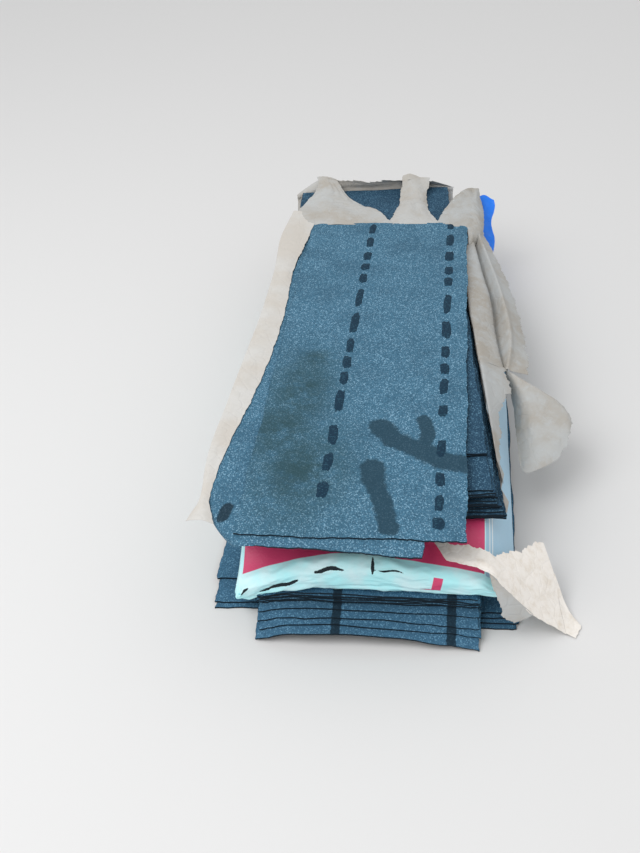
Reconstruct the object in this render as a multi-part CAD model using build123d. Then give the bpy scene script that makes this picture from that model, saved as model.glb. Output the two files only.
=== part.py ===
from build123d import *
import os
from math import cos, degrees, radians, sin

# An opened bundle of strip shingles in torn kraft paper. It lies on a sealed bundle in printed
# film, which lies on loose shingles. Millimetres, +Z up. The front of the pile looks to -Y.
# The origin is on the floor under the middle of the pile.

# one strip shingle
SHINGLE_LENGTH = 1000
SHINGLE_WIDTH = 337
SHINGLE_THICKNESS = 3
LAYER_GAP = 0.2
PITCH = SHINGLE_THICKNESS + LAYER_GAP

# loose shingles on the floor: right-hand ones, left-hand ones on them, then the fan
RIGHT_COUNT = 4
RIGHT_CENTRE = (63, -14)
RIGHT_STEP = 7
LEFT_SLIDS = (0, 9, 56)
LEFT_CENTRE = (-68, 6)
SAG_LENGTH = 70
FAN_COUNT = 10
FAN_STEPPED = 4
FAN_CENTRE_X = 6
FAN_FRONT = -560
FAN_STEP = 13.5
FAN_ARCH_X = -8
FAN_CORNER_DROP = 21.5

# sealed bundle: the shingles inside as one core, and the film round them
CORE_TOP_WIDTH = 364
CORE_HEIGHT = 68
CORE_FLARE = 40
CORE_LEFT = -184
CORE_FRONT = -515
CORE_LENGTH = 1012
NOSE_RADIUS = 22
SIDE_RADIUS = 9
BACK_RADIUS = 16
FRONT_UNDERCUT = 15
FILM_CLEARANCE = 0.4
FILM_THICKNESS = 0.6
TAIL_LENGTH = 132
TAIL_HEIGHT = 55
TAIL_WIDTH = 70
BUNDLE_GAP = 0.3

# opened bundle
STACK_COUNT = 15
SLID_BACK_COUNT = 2
STACK_CENTRE = (-9, 80)
STACK_TURN = 5.1
SLID_BACK = 77

# the two loose shingles on top; the lower one's corner curls down beyond a slanting line
SECOND_CENTRE = (-76, -49)
CURL_ALONG = 112
CURL_ACROSS = 76
CURL_DROP = 24
CURL_INSET = 0.2
TOP_CENTRE = (-16.5, -20)
DROOP_START = -400
DROOP_RADIUS = 900

# sealant pads on the top shingle: each row's distance from the left edge, how far it drifts to
# the left along the shingle, and where its pads are, from the back end
PAD_WIDTH = 14
PAD_LENGTH = 30
PAD_HEIGHT = 0.8
PAD_ROWS = (
    (134, 15, (28, 87, 152, 194, 246, 319, 416, 494, 547, 599, 665, 758, 829, 898)),
    (303, 6, (18, 82, 152, 213, 261, 342, 432, 512, 566, 618, 692, 793, 869, 923, 966)),
)

# kraft paper
PAPER_THICKNESS = 0.6
PAPER_MARGIN = 14
FOLD_CLEARANCE = 10
STAND_REACH = 26


def leaf(first, second, push):
    """A sheet between two edges, each a smooth line through its points, thickened along push."""
    surface = Face.make_surface_from_curves(Edge.make_spline(first), Edge.make_spline(second))
    return Solid.extrude(surface, Vector(*push))


def flat(centre, turn, floor):
    """A level shingle."""
    level = floor + SHINGLE_THICKNESS / 2
    return Pos(*centre, level) * Rot(Z=turn) * Box(SHINGLE_WIDTH, SHINGLE_LENGTH, SHINGLE_THICKNESS)


def save(name, solids):
    export_step(Compound(children=list(solids)) if len(solids) > 1 else solids[0], f"parts/{name}.step")


os.makedirs("parts", exist_ok=True)

# Loose shingles. The left-hand ones sag to the floor beside the right-hand ones. The fan lies on
# both, each of its lowest shingles further back than the one below, and its front corners droop.
right_top = RIGHT_COUNT * PITCH
left_top = right_top + len(LEFT_SLIDS) * PITCH
fan_top = left_top + FAN_COUNT * PITCH
right_left_edge = RIGHT_CENTRE[0] - SHINGLE_WIDTH / 2
fan_hinge = RIGHT_CENTRE[1] - SHINGLE_LENGTH / 2 + (RIGHT_COUNT - 1) * RIGHT_STEP
fan_reach = FAN_CENTRE_X + SHINGLE_WIDTH / 2 - FAN_ARCH_X


def sagging(centre, floor):
    """A left-hand shingle: level on the right-hand ones, then down to the floor beside them."""
    left, right = centre[0] - SHINGLE_WIDTH / 2, centre[0] + SHINGLE_WIDTH / 2
    foot = right_left_edge - SAG_LENGTH
    low = [(left, 0), (foot, 0), (right_left_edge, right_top), (right, right_top)]
    high = [(x, z + SHINGLE_THICKNESS) for x, z in reversed(low)]
    profile = make_face(Polyline(*low, *high, close=True))
    return Pos(0, centre[1], floor) * extrude(Plane.XZ * profile, SHINGLE_LENGTH / 2, both=True)


def fanned(centre_x, front, floor):
    """A shingle of the fan: level, and arched in front of the hinge so that its corners hang."""
    back = front + SHINGLE_LENGTH
    level_part = Pos(centre_x, (fan_hinge + back) / 2, floor + SHINGLE_THICKNESS / 2) * Box(
        SHINGLE_WIDTH, back - fan_hinge, SHINGLE_THICKNESS
    )
    ahead = (fan_hinge - front) / (fan_hinge - FAN_FRONT)
    hinge_edge, front_edge = [], []
    for share in (-0.5, -0.25, 0, 0.25, 0.5):
        x = centre_x + SHINGLE_WIDTH * share
        hinge_edge.append((x, fan_hinge, floor))
        front_edge.append((x, front, floor - FAN_CORNER_DROP * ahead * ((x - FAN_ARCH_X) / fan_reach) ** 2))
    return level_part + leaf(hinge_edge, front_edge, (0, 0, SHINGLE_THICKNESS))


loose = [
    flat((RIGHT_CENTRE[0] + 3 * sin(2 * k), RIGHT_CENTRE[1] + RIGHT_STEP * k), 0.4 * sin(3 * k), k * PITCH)
    for k in range(RIGHT_COUNT)
]
for k, slid in enumerate(LEFT_SLIDS):
    loose.append(sagging((LEFT_CENTRE[0] - 4 * k, LEFT_CENTRE[1] + slid), k * PITCH))
for k in range(FAN_COUNT):
    front = FAN_FRONT + FAN_STEP * min(k, FAN_STEPPED) + 1.2 * sin(2.1 * k)
    loose.append(fanned(FAN_CENTRE_X + 3 * sin(1.9 * k), front, left_top + k * PITCH))
save("loose_shingles", loose)

# Sealed bundle. The core has rounded ends and flares to the right. The film is a shell round it,
# and the film's loose end stands up behind it.
film_floor = fan_top - LAYER_GAP + BUNDLE_GAP
core_floor = film_floor + FILM_THICKNESS + FILM_CLEARANCE
core_top = core_floor + CORE_HEIGHT
film_top = core_top + FILM_CLEARANCE + FILM_THICKNESS
core_right = CORE_LEFT + CORE_TOP_WIDTH
core_back = CORE_FRONT + CORE_LENGTH


def bundle_body(clear):
    """The sealed bundle's form, grown by clear all round."""
    low, high = core_floor - clear, core_top + clear
    left, right = CORE_LEFT - clear, core_right + clear
    across = make_face(Polyline((left, low), (right + CORE_FLARE, low), (right, high), (left, high), close=True))
    across = fillet(across.vertices(), SIDE_RADIUS + clear)
    front, back = CORE_FRONT - clear, core_back + clear
    along = make_face(Polyline((front, high), (front + FRONT_UNDERCUT, low), (back, low), (back, high), close=True))
    along = fillet(along.vertices().group_by(Axis.X)[-1], BACK_RADIUS + clear)
    along = fillet(along.vertices().sort_by(Axis.X)[0], NOSE_RADIUS + clear)
    reach = 2 * CORE_LENGTH
    return extrude(Plane.XZ * across, reach, both=True) & extrude(Plane.YZ * along, reach, both=True)


save("sealed_bundle_core", [bundle_body(0)])
film = bundle_body(FILM_CLEARANCE + FILM_THICKNESS) - bundle_body(FILM_CLEARANCE)
tail_root = (core_back + FILM_CLEARANCE, core_top - BACK_RADIUS - 4)
tail_tip = (core_back + TAIL_LENGTH, core_top + TAIL_HEIGHT)
tail = make_face(
    Polyline(tail_root, tail_tip, (tail_tip[0], tail_tip[1] + 1), (tail_root[0], tail_root[1] + 1), close=True)
)
film += Pos(core_right + CORE_FLARE - SIDE_RADIUS - TAIL_WIDTH, 0, 0) * extrude(Plane.YZ * tail, TAIL_WIDTH)
save("film_wrap", [film.solid()])

# Opened bundle. Each shingle lies a few millimetres off the one below, and the last ones are slid back.
stack_floor = film_top + PAPER_THICKNESS + 2 * BUNDLE_GAP
stack_top = stack_floor + (STACK_COUNT + SLID_BACK_COUNT) * PITCH - LAYER_GAP


def in_stack(along, across):
    """A point of the opened bundle's turned plan, measured from its middle."""
    turn = radians(STACK_TURN)
    return (
        STACK_CENTRE[0] - along * sin(turn) + across * cos(turn),
        STACK_CENTRE[1] + along * cos(turn) + across * sin(turn),
    )


stack = []
for k in range(STACK_COUNT + SLID_BACK_COUNT):
    slid = SLID_BACK if k >= STACK_COUNT else 0
    place = in_stack(slid - 6 + 1.2 * k + 4 * sin(1.3 * k + 1), 5 - 0.8 * k + 2.5 * sin(2.1 * k))
    stack.append(flat(place, STACK_TURN + 0.4 - 0.06 * k, stack_floor + k * PITCH))
save("stack_shingles", stack)

# Second shingle. It droops over the stack's front, and its front left corner curls down.
second_floor = stack_top + LAYER_GAP
second_corner = (SECOND_CENTRE[0] - SHINGLE_WIDTH / 2, SECOND_CENTRE[1] - SHINGLE_LENGTH / 2)


def droop(y):
    """How far the overhanging fronts of both top shingles hang down."""
    return max(DROOP_START - y, 0) ** 2 / (2 * DROOP_RADIUS)


def drooping(centre, floor):
    """A shingle that lies level and droops at its front."""
    front, back = centre[1] - SHINGLE_LENGTH / 2, centre[1] + SHINGLE_LENGTH / 2
    slope = (DROOP_START - front) / DROOP_RADIUS
    low = Spline((front, floor - droop(front)), (DROOP_START, floor), tangents=((1, slope), (1, 0)))
    low += Line((DROOP_START, floor), (back, floor))
    ends = Line((front, floor - droop(front)), (front, floor - droop(front) + SHINGLE_THICKNESS))
    ends += Line((back, floor), (back, floor + SHINGLE_THICKNESS))
    profile = make_face(low + Pos(0, SHINGLE_THICKNESS) * low + ends)
    return Pos(centre[0], 0, 0) * extrude(Plane.YZ * profile, SHINGLE_WIDTH / 2, both=True)


def on_second(across, along, drop=0):
    """A point of the curled corner, measured from the shingle's sharp corner."""
    x, y = second_corner[0] + across, second_corner[1] + along
    return (x, y, second_floor - droop(y) - drop + CURL_INSET)


corner_piece = make_face(Polyline((0, 0), (CURL_ACROSS, 0), (0, CURL_ALONG), close=True))
corner_block = Pos(*second_corner, 0) * extrude(corner_piece, SHINGLE_LENGTH)
fold_line = [on_second(CURL_ACROSS * t + 1, CURL_ALONG * (1 - t) + 1) for t in (0, 0.5, 1)]
hanging_edge = [
    on_second(1, CURL_ALONG - 12, 2),
    on_second(CURL_ACROSS * 0.19, CURL_ALONG * 0.53, CURL_DROP),
    on_second(CURL_ACROSS * 0.52, CURL_ALONG * 0.2, CURL_DROP),
    on_second(CURL_ACROSS - 10, 1, 2),
]
curl = leaf(fold_line, hanging_edge, (0, 0, SHINGLE_THICKNESS - 2 * CURL_INSET))
second = drooping(SECOND_CENTRE, second_floor) - corner_block + curl
save("second_shingle", [second.solid()])

# Top shingle with its sealant pads, two rows in the uneven rhythm of the applicator.
top_floor = second_floor + PITCH


save("top_shingle", [drooping(TOP_CENTRE, top_floor)])
top_left = TOP_CENTRE[0] - SHINGLE_WIDTH / 2
top_back = TOP_CENTRE[1] + SHINGLE_LENGTH / 2
blank = Box(PAD_WIDTH, PAD_LENGTH, PAD_HEIGHT)
pad = chamfer(blank.edges().filter_by(Axis.Z), PAD_WIDTH / 4)
pads = []
for row, drift, stations in PAD_ROWS:
    for station in stations:
        if station > SHINGLE_LENGTH - PAD_LENGTH / 2:
            continue
        x = top_left + row - drift * station / SHINGLE_LENGTH
        y = top_back - station
        tilt = degrees(max(DROOP_START - y, 0) / DROOP_RADIUS)
        level = top_floor - droop(y) + SHINGLE_THICKNESS + LAYER_GAP + PAD_HEIGHT / 2
        pads.append(Pos(x, y, level) * Rot(X=tilt) * pad)
save("sealant_pads", pads)

# Kraft wrapper. A sheet lies under the stack, and torn panels of it lean, fold over and hang.
# Edges are given as a share of the shingle's length along the stack, then in millimetres.
sheet_floor = film_top + BUNDLE_GAP
sheet_width = SHINGLE_WIDTH + 2 * PAPER_MARGIN
sheet_length = SHINGLE_LENGTH + 2 * PAPER_MARGIN
base_rise = sheet_floor + 0.5
crest = stack_top - 3
side = sheet_width / 2 - 1


def on_side(along, across, level):
    return (*in_stack(along, across), level)


wrapper = (
    Pos(*STACK_CENTRE, sheet_floor + PAPER_THICKNESS / 2)
    * Rot(Z=STACK_TURN)
    * Box(sheet_width, sheet_length, PAPER_THICKNESS)
)

# Left wall: it leans out under the second shingle, folds over its left edge and ends torn.
fold_level = second_floor + SHINGLE_THICKNESS + 1.6
left_stations = [SHINGLE_LENGTH * share for share in (-0.47, -0.36, -0.2, 0, 0.2, 0.36, 0.5)]
fold = []
for v in left_stations:
    y = in_stack(v, -side)[1]
    fold.append((second_corner[0] - FOLD_CLEARANCE - 2.5 * sin(v / 90) ** 2, y, fold_level))
wrapper += leaf([on_side(v, -side, base_rise) for v in left_stations[::6]], fold, (-0.6, 0, -0.4))
torn_widths = (14, 22, 36, 30, 33, 46)
torn = [(x + width, y, z + 1.2) for (x, y, z), width in zip(fold[1:], torn_widths)]
wrapper += leaf([(x - 0.5, y, z - 0.8) for x, y, z in fold[1:]], torn, (0, 0, PAPER_THICKNESS))

# Right wall: up the stack's side, then out and down in a long strip with a curled flap.
right_stations = (SHINGLE_LENGTH * 0.5, SHINGLE_LENGTH * -0.33)
ridge = [on_side(v, side + 5, crest) for v in right_stations]
wrapper += leaf([on_side(v, side, base_rise) for v in right_stations], ridge, (0.6, 0, -0.2))
STRIP_EDGE = (
    (0.486, 48, 1), (0.3, 72, -28), (0.119, 80, -32), (-0.07, 82, -37),
    (-0.181, 135, -70), (-0.27, 124, -83), (-0.34, 60, -84), (-0.4, 20, -52),
)
strip = [on_side(SHINGLE_LENGTH * share, side + out, crest + rise) for share, out, rise in STRIP_EDGE]
wrapper += leaf([(x, y, z - 1) for x, y, z in ridge], strip, (0, 0, PAPER_THICKNESS))

# Back: it leans out behind the slid-back shingles and stands up past them, with three torn tongues.
stand_reach = SHINGLE_LENGTH / 2 + SLID_BACK + STAND_REACH
RIM = ((-1, -9), (-0.69, 23), (-0.22, 26), (0.28, 26), (0.52, 23), (0.72, -4), (1, 15))
stand = [on_side(stand_reach, side * share, crest - 5) for share in (-1, 1)]
rim = [on_side(stand_reach + 2, side * share, crest + rise) for share, rise in RIM]
foot = [on_side(sheet_length / 2 - 1, side * share, base_rise) for share in (-1, 1)]
wrapper += leaf(foot, stand, (0, 0.3, -0.5))
wrapper += leaf([(x, y - 0.3, z - 1) for x, y, z in stand], rim, (0, 0.6, 0))
TONGUES = (
    (((2.3, -0.69, 16), (-58, -0.66, 6), (-122, -0.84, 4), (-173, -1, 4)),
     ((2.3, -0.52, 16), (-96, -0.38, 5), (-150, -0.01, 3), (-197, 0.22, 2))),
    (((2.3, 0.36, 16), (-66, 0.34, 6), (-145, 0.26, 3), (-197, 0.25, 2)),
     ((2.3, 0.53, 15), (-70, 0.59, 6), (-141, 0.64, 3), (-204, 0.68, 2))),
    (((2.3, 0.83, 2), (-94, 0.79, 4), (-153, 0.74, 3), (-205, 0.71, 2)),
     ((2.3, 0.98, 6), (-89, 1.13, 10), (-150, 1.15, 7), (-211, 1.11, 2))),
)
for tongue in TONGUES:
    left_edge, right_edge = (
        [on_side(stand_reach + back, side * share, stack_top + rise) for back, share, rise in edge]
        for edge in tongue
    )
    wrapper += leaf(left_edge, right_edge, (0, 0, PAPER_THICKNESS))

# Front right flap: from under the stack, over the sealed bundle's corner, down to the floor.
# Its points are measured from that corner, with the level as a share of the bundle's top.
FLAP_INNER = ((-80, 63, 1.011), (-40, 49, 1.014), (-4, 41, 1.011), (10, 42, 0.98), (60, 85, 0.72), (90, 120, 0.56))
FLAP_OUTER = ((-56, 15, 1.012), (-28, 7, 1.015), (6, -8, 1.01), (30, -12, 0.8), (68, -8, 0.38), (116, -5, 0.008))


def from_corner(points, back=0):
    return [(core_right + dx, CORE_FRONT + dy + back, film_top * share) for dx, dy, share in points]


root = [on_side(4 - sheet_length / 2, side * share, sheet_floor + 0.2) for share in (0.53, 0.93)]
wrapper += leaf(root, from_corner(FLAP_INNER[:4], -4), (0, 0, PAPER_THICKNESS))
wrapper += leaf(from_corner(FLAP_INNER), from_corner(FLAP_OUTER), (0, 0, PAPER_THICKNESS))
save("kraft_wrapper", wrapper.solids())
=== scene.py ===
import math
import bpy
import numpy as np
from mathutils import Matrix, Vector


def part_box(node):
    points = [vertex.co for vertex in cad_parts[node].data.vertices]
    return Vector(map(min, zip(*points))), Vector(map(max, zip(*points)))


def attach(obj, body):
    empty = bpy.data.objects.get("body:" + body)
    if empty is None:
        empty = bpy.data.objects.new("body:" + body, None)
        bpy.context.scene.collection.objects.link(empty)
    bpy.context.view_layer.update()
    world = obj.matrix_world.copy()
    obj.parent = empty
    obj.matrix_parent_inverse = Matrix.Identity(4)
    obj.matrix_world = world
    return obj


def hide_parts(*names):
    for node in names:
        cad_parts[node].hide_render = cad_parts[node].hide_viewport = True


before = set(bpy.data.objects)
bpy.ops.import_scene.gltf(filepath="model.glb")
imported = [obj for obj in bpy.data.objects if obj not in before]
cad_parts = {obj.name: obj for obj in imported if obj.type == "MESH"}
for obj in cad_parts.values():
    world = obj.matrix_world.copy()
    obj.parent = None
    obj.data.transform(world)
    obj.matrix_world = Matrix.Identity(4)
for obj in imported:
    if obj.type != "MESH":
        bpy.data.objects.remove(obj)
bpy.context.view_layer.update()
scene = bpy.context.scene

# The loose shingles at the bottom: fibreglass felt soaked in bitumen and pressed full of dark stone
# granules, cut to one metre strips. Four lie on the floor, three sag over their left side, and ten lie
# on both, fanned out at the front, where their unheld corners droop.
WIDTH, LENGTH, THICKNESS, PITCH = 0.337, 1.0, 0.003, 0.0032
RIGHT_CENTRE, RIGHT_STEP, RIGHT_COUNT = (0.063, -0.014), 0.007, 4
LEFT_CENTRE, LEFT_SLIDS = (-0.068, 0.006), (0.0, 0.009, 0.056)
FAN_CENTRE_X, FAN_FRONT, FAN_STEP, FAN_STEPPED, FAN_COUNT = 0.006, -0.560, 0.0135, 4, 10
HINGE_Y, SAG_START_X, CROWN_X = -0.492, -0.105, -0.04
CHARCOAL_DARK, CHARCOAL, CHARCOAL_PALE = (0.009, 0.034, 0.066), (0.030, 0.088, 0.152), (0.10, 0.22, 0.32)
BANDED, BANDED_PALE, BAND_PLACES = (0.060, 0.165, 0.270), (0.14, 0.30, 0.44), (-0.040, 0.133)
BAND_LEFT, BAND_RIGHT, BAND_BLACK, CUT_BLACK = 0.004, 0.010, (0.004, 0.012, 0.020), (0.008, 0.018, 0.028)
SAG, SAG_WIDTH, LEFT_EDGE_X, LEFT_SLOPE_WIDTH = 0.010, 0.075, -0.1755, 0.07
LEFT_DROP, LEFT_DROP_REACH, RIGHT_DROP, RIGHT_DROP_REACH = 0.0118, 0.122, 0.0215, 0.214


def smoothstep(t):
    """A step from 0 to 1 with level ends: 3 t squared minus 2 t cubed, with t cut to 0..1."""
    t = np.clip(t, 0.0, 1.0)
    return t * t * (3.0 - 2.0 * t)


def steps(count, bunch=2.2):
    """count + 1 values from 0 to 1, closer together near both ends."""
    t = np.linspace(-1.0, 1.0, count + 1)
    return 0.5 + 0.5 * np.sign(t) * (1.0 - (1.0 - np.abs(t)) ** bunch)


def waver(values, seed, waves=((0.21, 0.0012), (0.083, 0.0007), (0.029, 0.0005), (0.0127, 0.0004))):
    """A sum of sine waves of falling length and height, in metres, each with its own random phase."""
    rng = np.random.default_rng(seed)
    total = np.zeros_like(values)
    for length, height in waves:
        total += height * np.sin(values * 2.0 * np.pi / length + rng.uniform(0.0, 2.0 * np.pi))
    return total


def shingle(centre, turn, height, seed, cells=(26, 84)):
    """The upper face of one strip: a grid over its plan, closer at the edges, which waver a little.
    It is turned, moved to centre and laid on height(x, y), its thickness higher."""
    u, v = np.meshgrid((steps(cells[0]) - 0.5) * WIDTH, (steps(cells[1]) - 0.5) * LENGTH, indexing="ij")
    share = u / WIDTH + 0.5
    u = u + (1.0 - share) * waver(v, seed) + share * waver(v, seed + 1)
    share = v / LENGTH + 0.5
    v = v + (1.0 - share) * waver(u, seed + 2) + share * waver(u, seed + 3)
    x = centre[0] + u * math.cos(turn) - v * math.sin(turn)
    y = centre[1] + u * math.sin(turn) + v * math.cos(turn)
    return np.stack((x, y, height(x, y) + THICKNESS), axis=-1)


def normals(top):
    """Unit normals of a grid: the cross product of its slopes along both ways."""
    found = np.cross(np.gradient(top, axis=0), np.gradient(top, axis=1))
    return found / np.maximum(np.linalg.norm(found, axis=-1, keepdims=True), 1e-12)


def thick_sheet(top, thickness):
    """Points and quads of a closed sheet: the grid, the same grid moved back along its normals by the
    thickness, and a rim of quads round the border between the two. The third value is 1 off its face."""
    rows, columns, _ = top.shape
    under = top - normals(top) * thickness
    points = np.concatenate((top.reshape(-1, 3), under.reshape(-1, 3)))
    index = np.arange(rows * columns).reshape(rows, columns)
    upper = np.stack((index[:-1, :-1], index[1:, :-1], index[1:, 1:], index[:-1, 1:]), axis=-1).reshape(-1, 4)
    lower = upper[:, ::-1] + rows * columns
    border = np.concatenate((index[:, 0], index[-1, 1:], index[-2::-1, -1], index[0, -2:0:-1]))
    after = np.roll(border, -1)
    rim = np.stack((border, border + rows * columns, after + rows * columns, after), axis=-1)
    cut = np.ones(2 * rows * columns)
    cut[index[1:-1, 1:-1].ravel()] = 0.0
    return points, np.concatenate((upper, lower, rim)), cut


def make_piece(name, shells, material, replaced, crease=35.0, values=None, uv=None):
    """One mesh object from shells of points and quads. values are float attributes of its points, and uv
    is a pair for each point. It rides on the root body in place of the replaced nodes."""
    points = np.concatenate([shell[0] for shell in shells])
    starts = np.cumsum([0] + [len(shell[0]) for shell in shells[:-1]])
    quads = np.concatenate([shell[1] + start for shell, start in zip(shells, starts)])
    mesh = bpy.data.meshes.new(name)
    mesh.from_pydata(points.tolist(), [], quads.tolist())
    mesh.polygons.foreach_set("use_smooth", np.ones(len(quads), dtype=bool))
    values = dict(values or {})
    if len(shells[0]) > 2:
        values["cut"] = np.concatenate([shell[2] for shell in shells])
    for key, numbers in values.items():
        mesh.attributes.new(key, "FLOAT", "POINT").data.foreach_set("value", numbers.astype(np.float32))
    if uv is not None:
        layer = mesh.uv_layers.new(name="unrolled")
        layer.data.foreach_set("uv", uv[quads.ravel()].astype(np.float32).ravel())
    mesh.set_sharp_from_angle(angle=math.radians(crease))
    mesh.materials.append(material)
    piece = bpy.data.objects.new(name, mesh)
    scene.collection.objects.link(piece)
    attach(piece, "root")
    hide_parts(*replaced)
    return piece


def new_material(name):
    """A new material with its node tree, which starts with a plain surface shader."""
    material = bpy.data.materials.new(name)
    material.use_nodes = True
    return material, material.node_tree


def add(tree, kind, inputs=None, **settings):
    """A new shader node. An input is a number, a colour or the socket that feeds it."""
    made = tree.nodes.new(kind)
    for key, value in settings.items():
        setattr(made, key, value)
    for key, value in (inputs or {}).items():
        if isinstance(value, bpy.types.NodeSocket):
            tree.links.new(value, made.inputs[key])
        elif isinstance(value, tuple):
            made.inputs[key].default_value = (*value, 1.0)[: len(made.inputs[key].default_value)]
        else:
            made.inputs[key].default_value = value
    return made


def ramp(tree, value, low, high):
    """The value's way from low to high as 0 to 1, eased and cut off outside."""
    return add(tree, "ShaderNodeMapRange", {"Value": value, "From Min": low, "From Max": high},
               interpolation_type="SMOOTHSTEP").outputs["Result"]


def blend(tree, share, first, second):
    """A mix of two colours by the share."""
    mixed = add(tree, "ShaderNodeMix", {0: share}, data_type="RGBA")
    for key, value in ((6, first), (7, second)):
        if isinstance(value, tuple):
            mixed.inputs[key].default_value = (*value, 1.0)
        else:
            tree.links.new(value, mixed.inputs[key])
    return mixed.outputs[2]


def calculate(tree, operation, first, second=0.0):
    """The result of one sum of two numbers or sockets."""
    return add(tree, "ShaderNodeMath", {0: first, 1: second}, operation=operation).outputs[0]


def granule_colour(tree, place, dark, middle, pale, fleck=0.83):
    """Stone granules of about 1.5 mm in mixed shades, a few pale, over slow blotches; and their relief."""
    cells = add(tree, "ShaderNodeTexVoronoi", {"Vector": place, "Scale": 640.0})
    shades = add(tree, "ShaderNodeSeparateColor", {"Color": cells.outputs["Color"]})
    blotch = add(tree, "ShaderNodeTexNoise",
                 {"Vector": place, "Scale": 12.0, "Detail": 6.0, "Roughness": 0.6})
    colour = blend(tree, calculate(tree, "MULTIPLY", shades.outputs[0], 0.75), middle, dark)
    colour = blend(tree, ramp(tree, shades.outputs[1], fleck - 0.06, fleck + 0.12), colour, pale)
    dulled = calculate(tree, "MULTIPLY", ramp(tree, blotch.outputs["Fac"], 0.42, 0.72), 0.35)
    colour = blend(tree, dulled, colour, dark)
    uneven = calculate(tree, "MULTIPLY", shades.outputs[2], 0.4)
    relief = calculate(tree, "ADD", cells.outputs["Distance"], uneven)
    return colour, relief


def inside(tree, value, low, high, soft=0.0006):
    """1 between low and high, 0 outside, with soft ends."""
    return calculate(tree, "MULTIPLY", ramp(tree, value, low - soft, low + soft),
                     ramp(tree, value, high + soft, high - soft))


def granule_material(name, dark, middle, pale, bands=()):
    """A coat of granules with black cut edges, and dark bands of sealant at these places across it."""
    material, tree = new_material(name)
    shader = tree.nodes["Principled BSDF"]
    place = add(tree, "ShaderNodeTexCoord").outputs["Object"]
    colour, relief = granule_colour(tree, place, dark, middle, pale)
    across = add(tree, "ShaderNodeSeparateXYZ", {"Vector": place}).outputs["X"]
    rough = add(tree, "ShaderNodeTexNoise", {"Vector": place, "Scale": 160.0, "Detail": 5.0}).outputs["Fac"]
    across = calculate(tree, "ADD", across, calculate(tree, "MULTIPLY", rough, 0.006))
    for band in bands:
        on_band = inside(tree, across, band - BAND_LEFT, band + BAND_RIGHT)
        colour = blend(tree, calculate(tree, "MULTIPLY", on_band, 0.85), colour, BAND_BLACK)
    cut = add(tree, "ShaderNodeAttribute", attribute_name="cut").outputs["Fac"]
    colour = blend(tree, cut, colour, CUT_BLACK)
    bump = add(tree, "ShaderNodeBump", {"Height": relief, "Strength": 0.5, "Distance": 0.0006})
    tree.links.new(colour, shader.inputs["Base Color"])
    tree.links.new(bump.outputs["Normal"], shader.inputs["Normal"])
    shader.inputs["Roughness"].default_value = 0.92
    shader.inputs["Specular IOR Level"].default_value = 0.25
    return material


def left_sag(x, y):
    """How far the pile sinks at its left, where no shingle lies under it: most at the front."""
    return SAG * smoothstep((SAG_START_X - x) / SAG_WIDTH) * (0.4 + 0.6 * smoothstep((-0.28 - y) / 0.15))


def fan_height(x, y):
    """The fan's underside: level, sunk at the left, and bent down in front of the hinge towards its
    corners, by the distance from the crown squared."""
    ahead = np.clip((HINGE_Y - y) / (HINGE_Y - FAN_FRONT), 0.0, 1.1) ** 1.4
    across = np.where(x < CROWN_X, (x - CROWN_X) / LEFT_DROP_REACH, (x - CROWN_X) / RIGHT_DROP_REACH)
    drop = np.where(x < CROWN_X, LEFT_DROP, RIGHT_DROP) * np.minimum(across**2, 1.05)
    return (RIGHT_COUNT + len(LEFT_SLIDS)) * PITCH - left_sag(x, y) - drop * ahead


charcoal = granule_material("charcoal_granules", CHARCOAL_DARK, CHARCOAL, CHARCOAL_PALE)
loose = []
for k in range(RIGHT_COUNT):
    centre = (RIGHT_CENTRE[0] + 0.003 * math.sin(2 * k), RIGHT_CENTRE[1] + RIGHT_STEP * k)
    turn = math.radians(0.4 * math.sin(3 * k))
    loose.append(shingle(centre, turn, lambda x, y: np.full_like(x, k * PITCH), 10 + 7 * k))
for k, slid in enumerate(LEFT_SLIDS):
    loose.append(shingle(
        (LEFT_CENTRE[0] - 0.004 * k, LEFT_CENTRE[1] + slid), 0.0,
        lambda x, y: (RIGHT_COUNT * smoothstep((x - LEFT_EDGE_X) / LEFT_SLOPE_WIDTH) + k) * PITCH, 60 + 7 * k,
    ))
for k in range(FAN_COUNT):
    front = FAN_FRONT + FAN_STEP * min(k, FAN_STEPPED) + 0.0012 * math.sin(2.1 * k)
    loose.append(shingle(
        (FAN_CENTRE_X + 0.003 * math.sin(1.9 * k), front + LENGTH / 2), 0.0,
        lambda x, y: fan_height(x, y) + k * PITCH, 100 + 7 * k,
    ))
banded = granule_material("banded_granules", CHARCOAL, BANDED, BANDED_PALE, bands=BAND_PLACES)
make_piece("loose_strip_shingles", [thick_sheet(top, THICKNESS) for top in loose], banded,
           ["loose_shingles"])

# The sealed bundle: a pack of the same shingles in a bag of printed polyethylene film, shrunk and
# creased round it. Its front drapes over the fan, its right side flares, the film is split in places
# at the front, and its loose end stands up behind.
film_low, film_high = (np.array(corner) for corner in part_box("sealed_bundle_core"))
FILM_CLEAR, FLARE, UNDERCUT, NOSE, SIDE, TOP_WIDTH = 0.0008, 0.050, 0.003, 0.022, 0.010, 0.364
LEFT_LEAN_TOP, LEFT_LEAN_FLOOR, FRONT_INSET, BACK_NOSE = 0.006, 0.019, 0.009, 0.016
BODY_STATIONS, FRONT_REACH, CROWN_FRONT_X, LIP = 90, 0.25, -0.03, 0.011
BAG_WHITE, BAG_WHITE_HAZE = (0.47, 0.94, 0.99), (0.66, 0.92, 0.96)
BAG_RED, BAG_RED_WORN = (0.70, 0.060, 0.175), (0.70, 0.13, 0.23)
BAG_GREY, BAG_LINE, BAG_BLUE = (0.36, 0.58, 0.74), (0.82, 0.88, 0.9), (0.004, 0.20, 0.90)
GRIME, HOLE_BLACK = (0.12, 0.2, 0.24), (0.006, 0.014, 0.02)
RED_LEFT, RED_RIGHT, GREY_LEFT, GREY_RIGHT = -0.0035, 0.364, 0.366, 0.460
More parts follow.
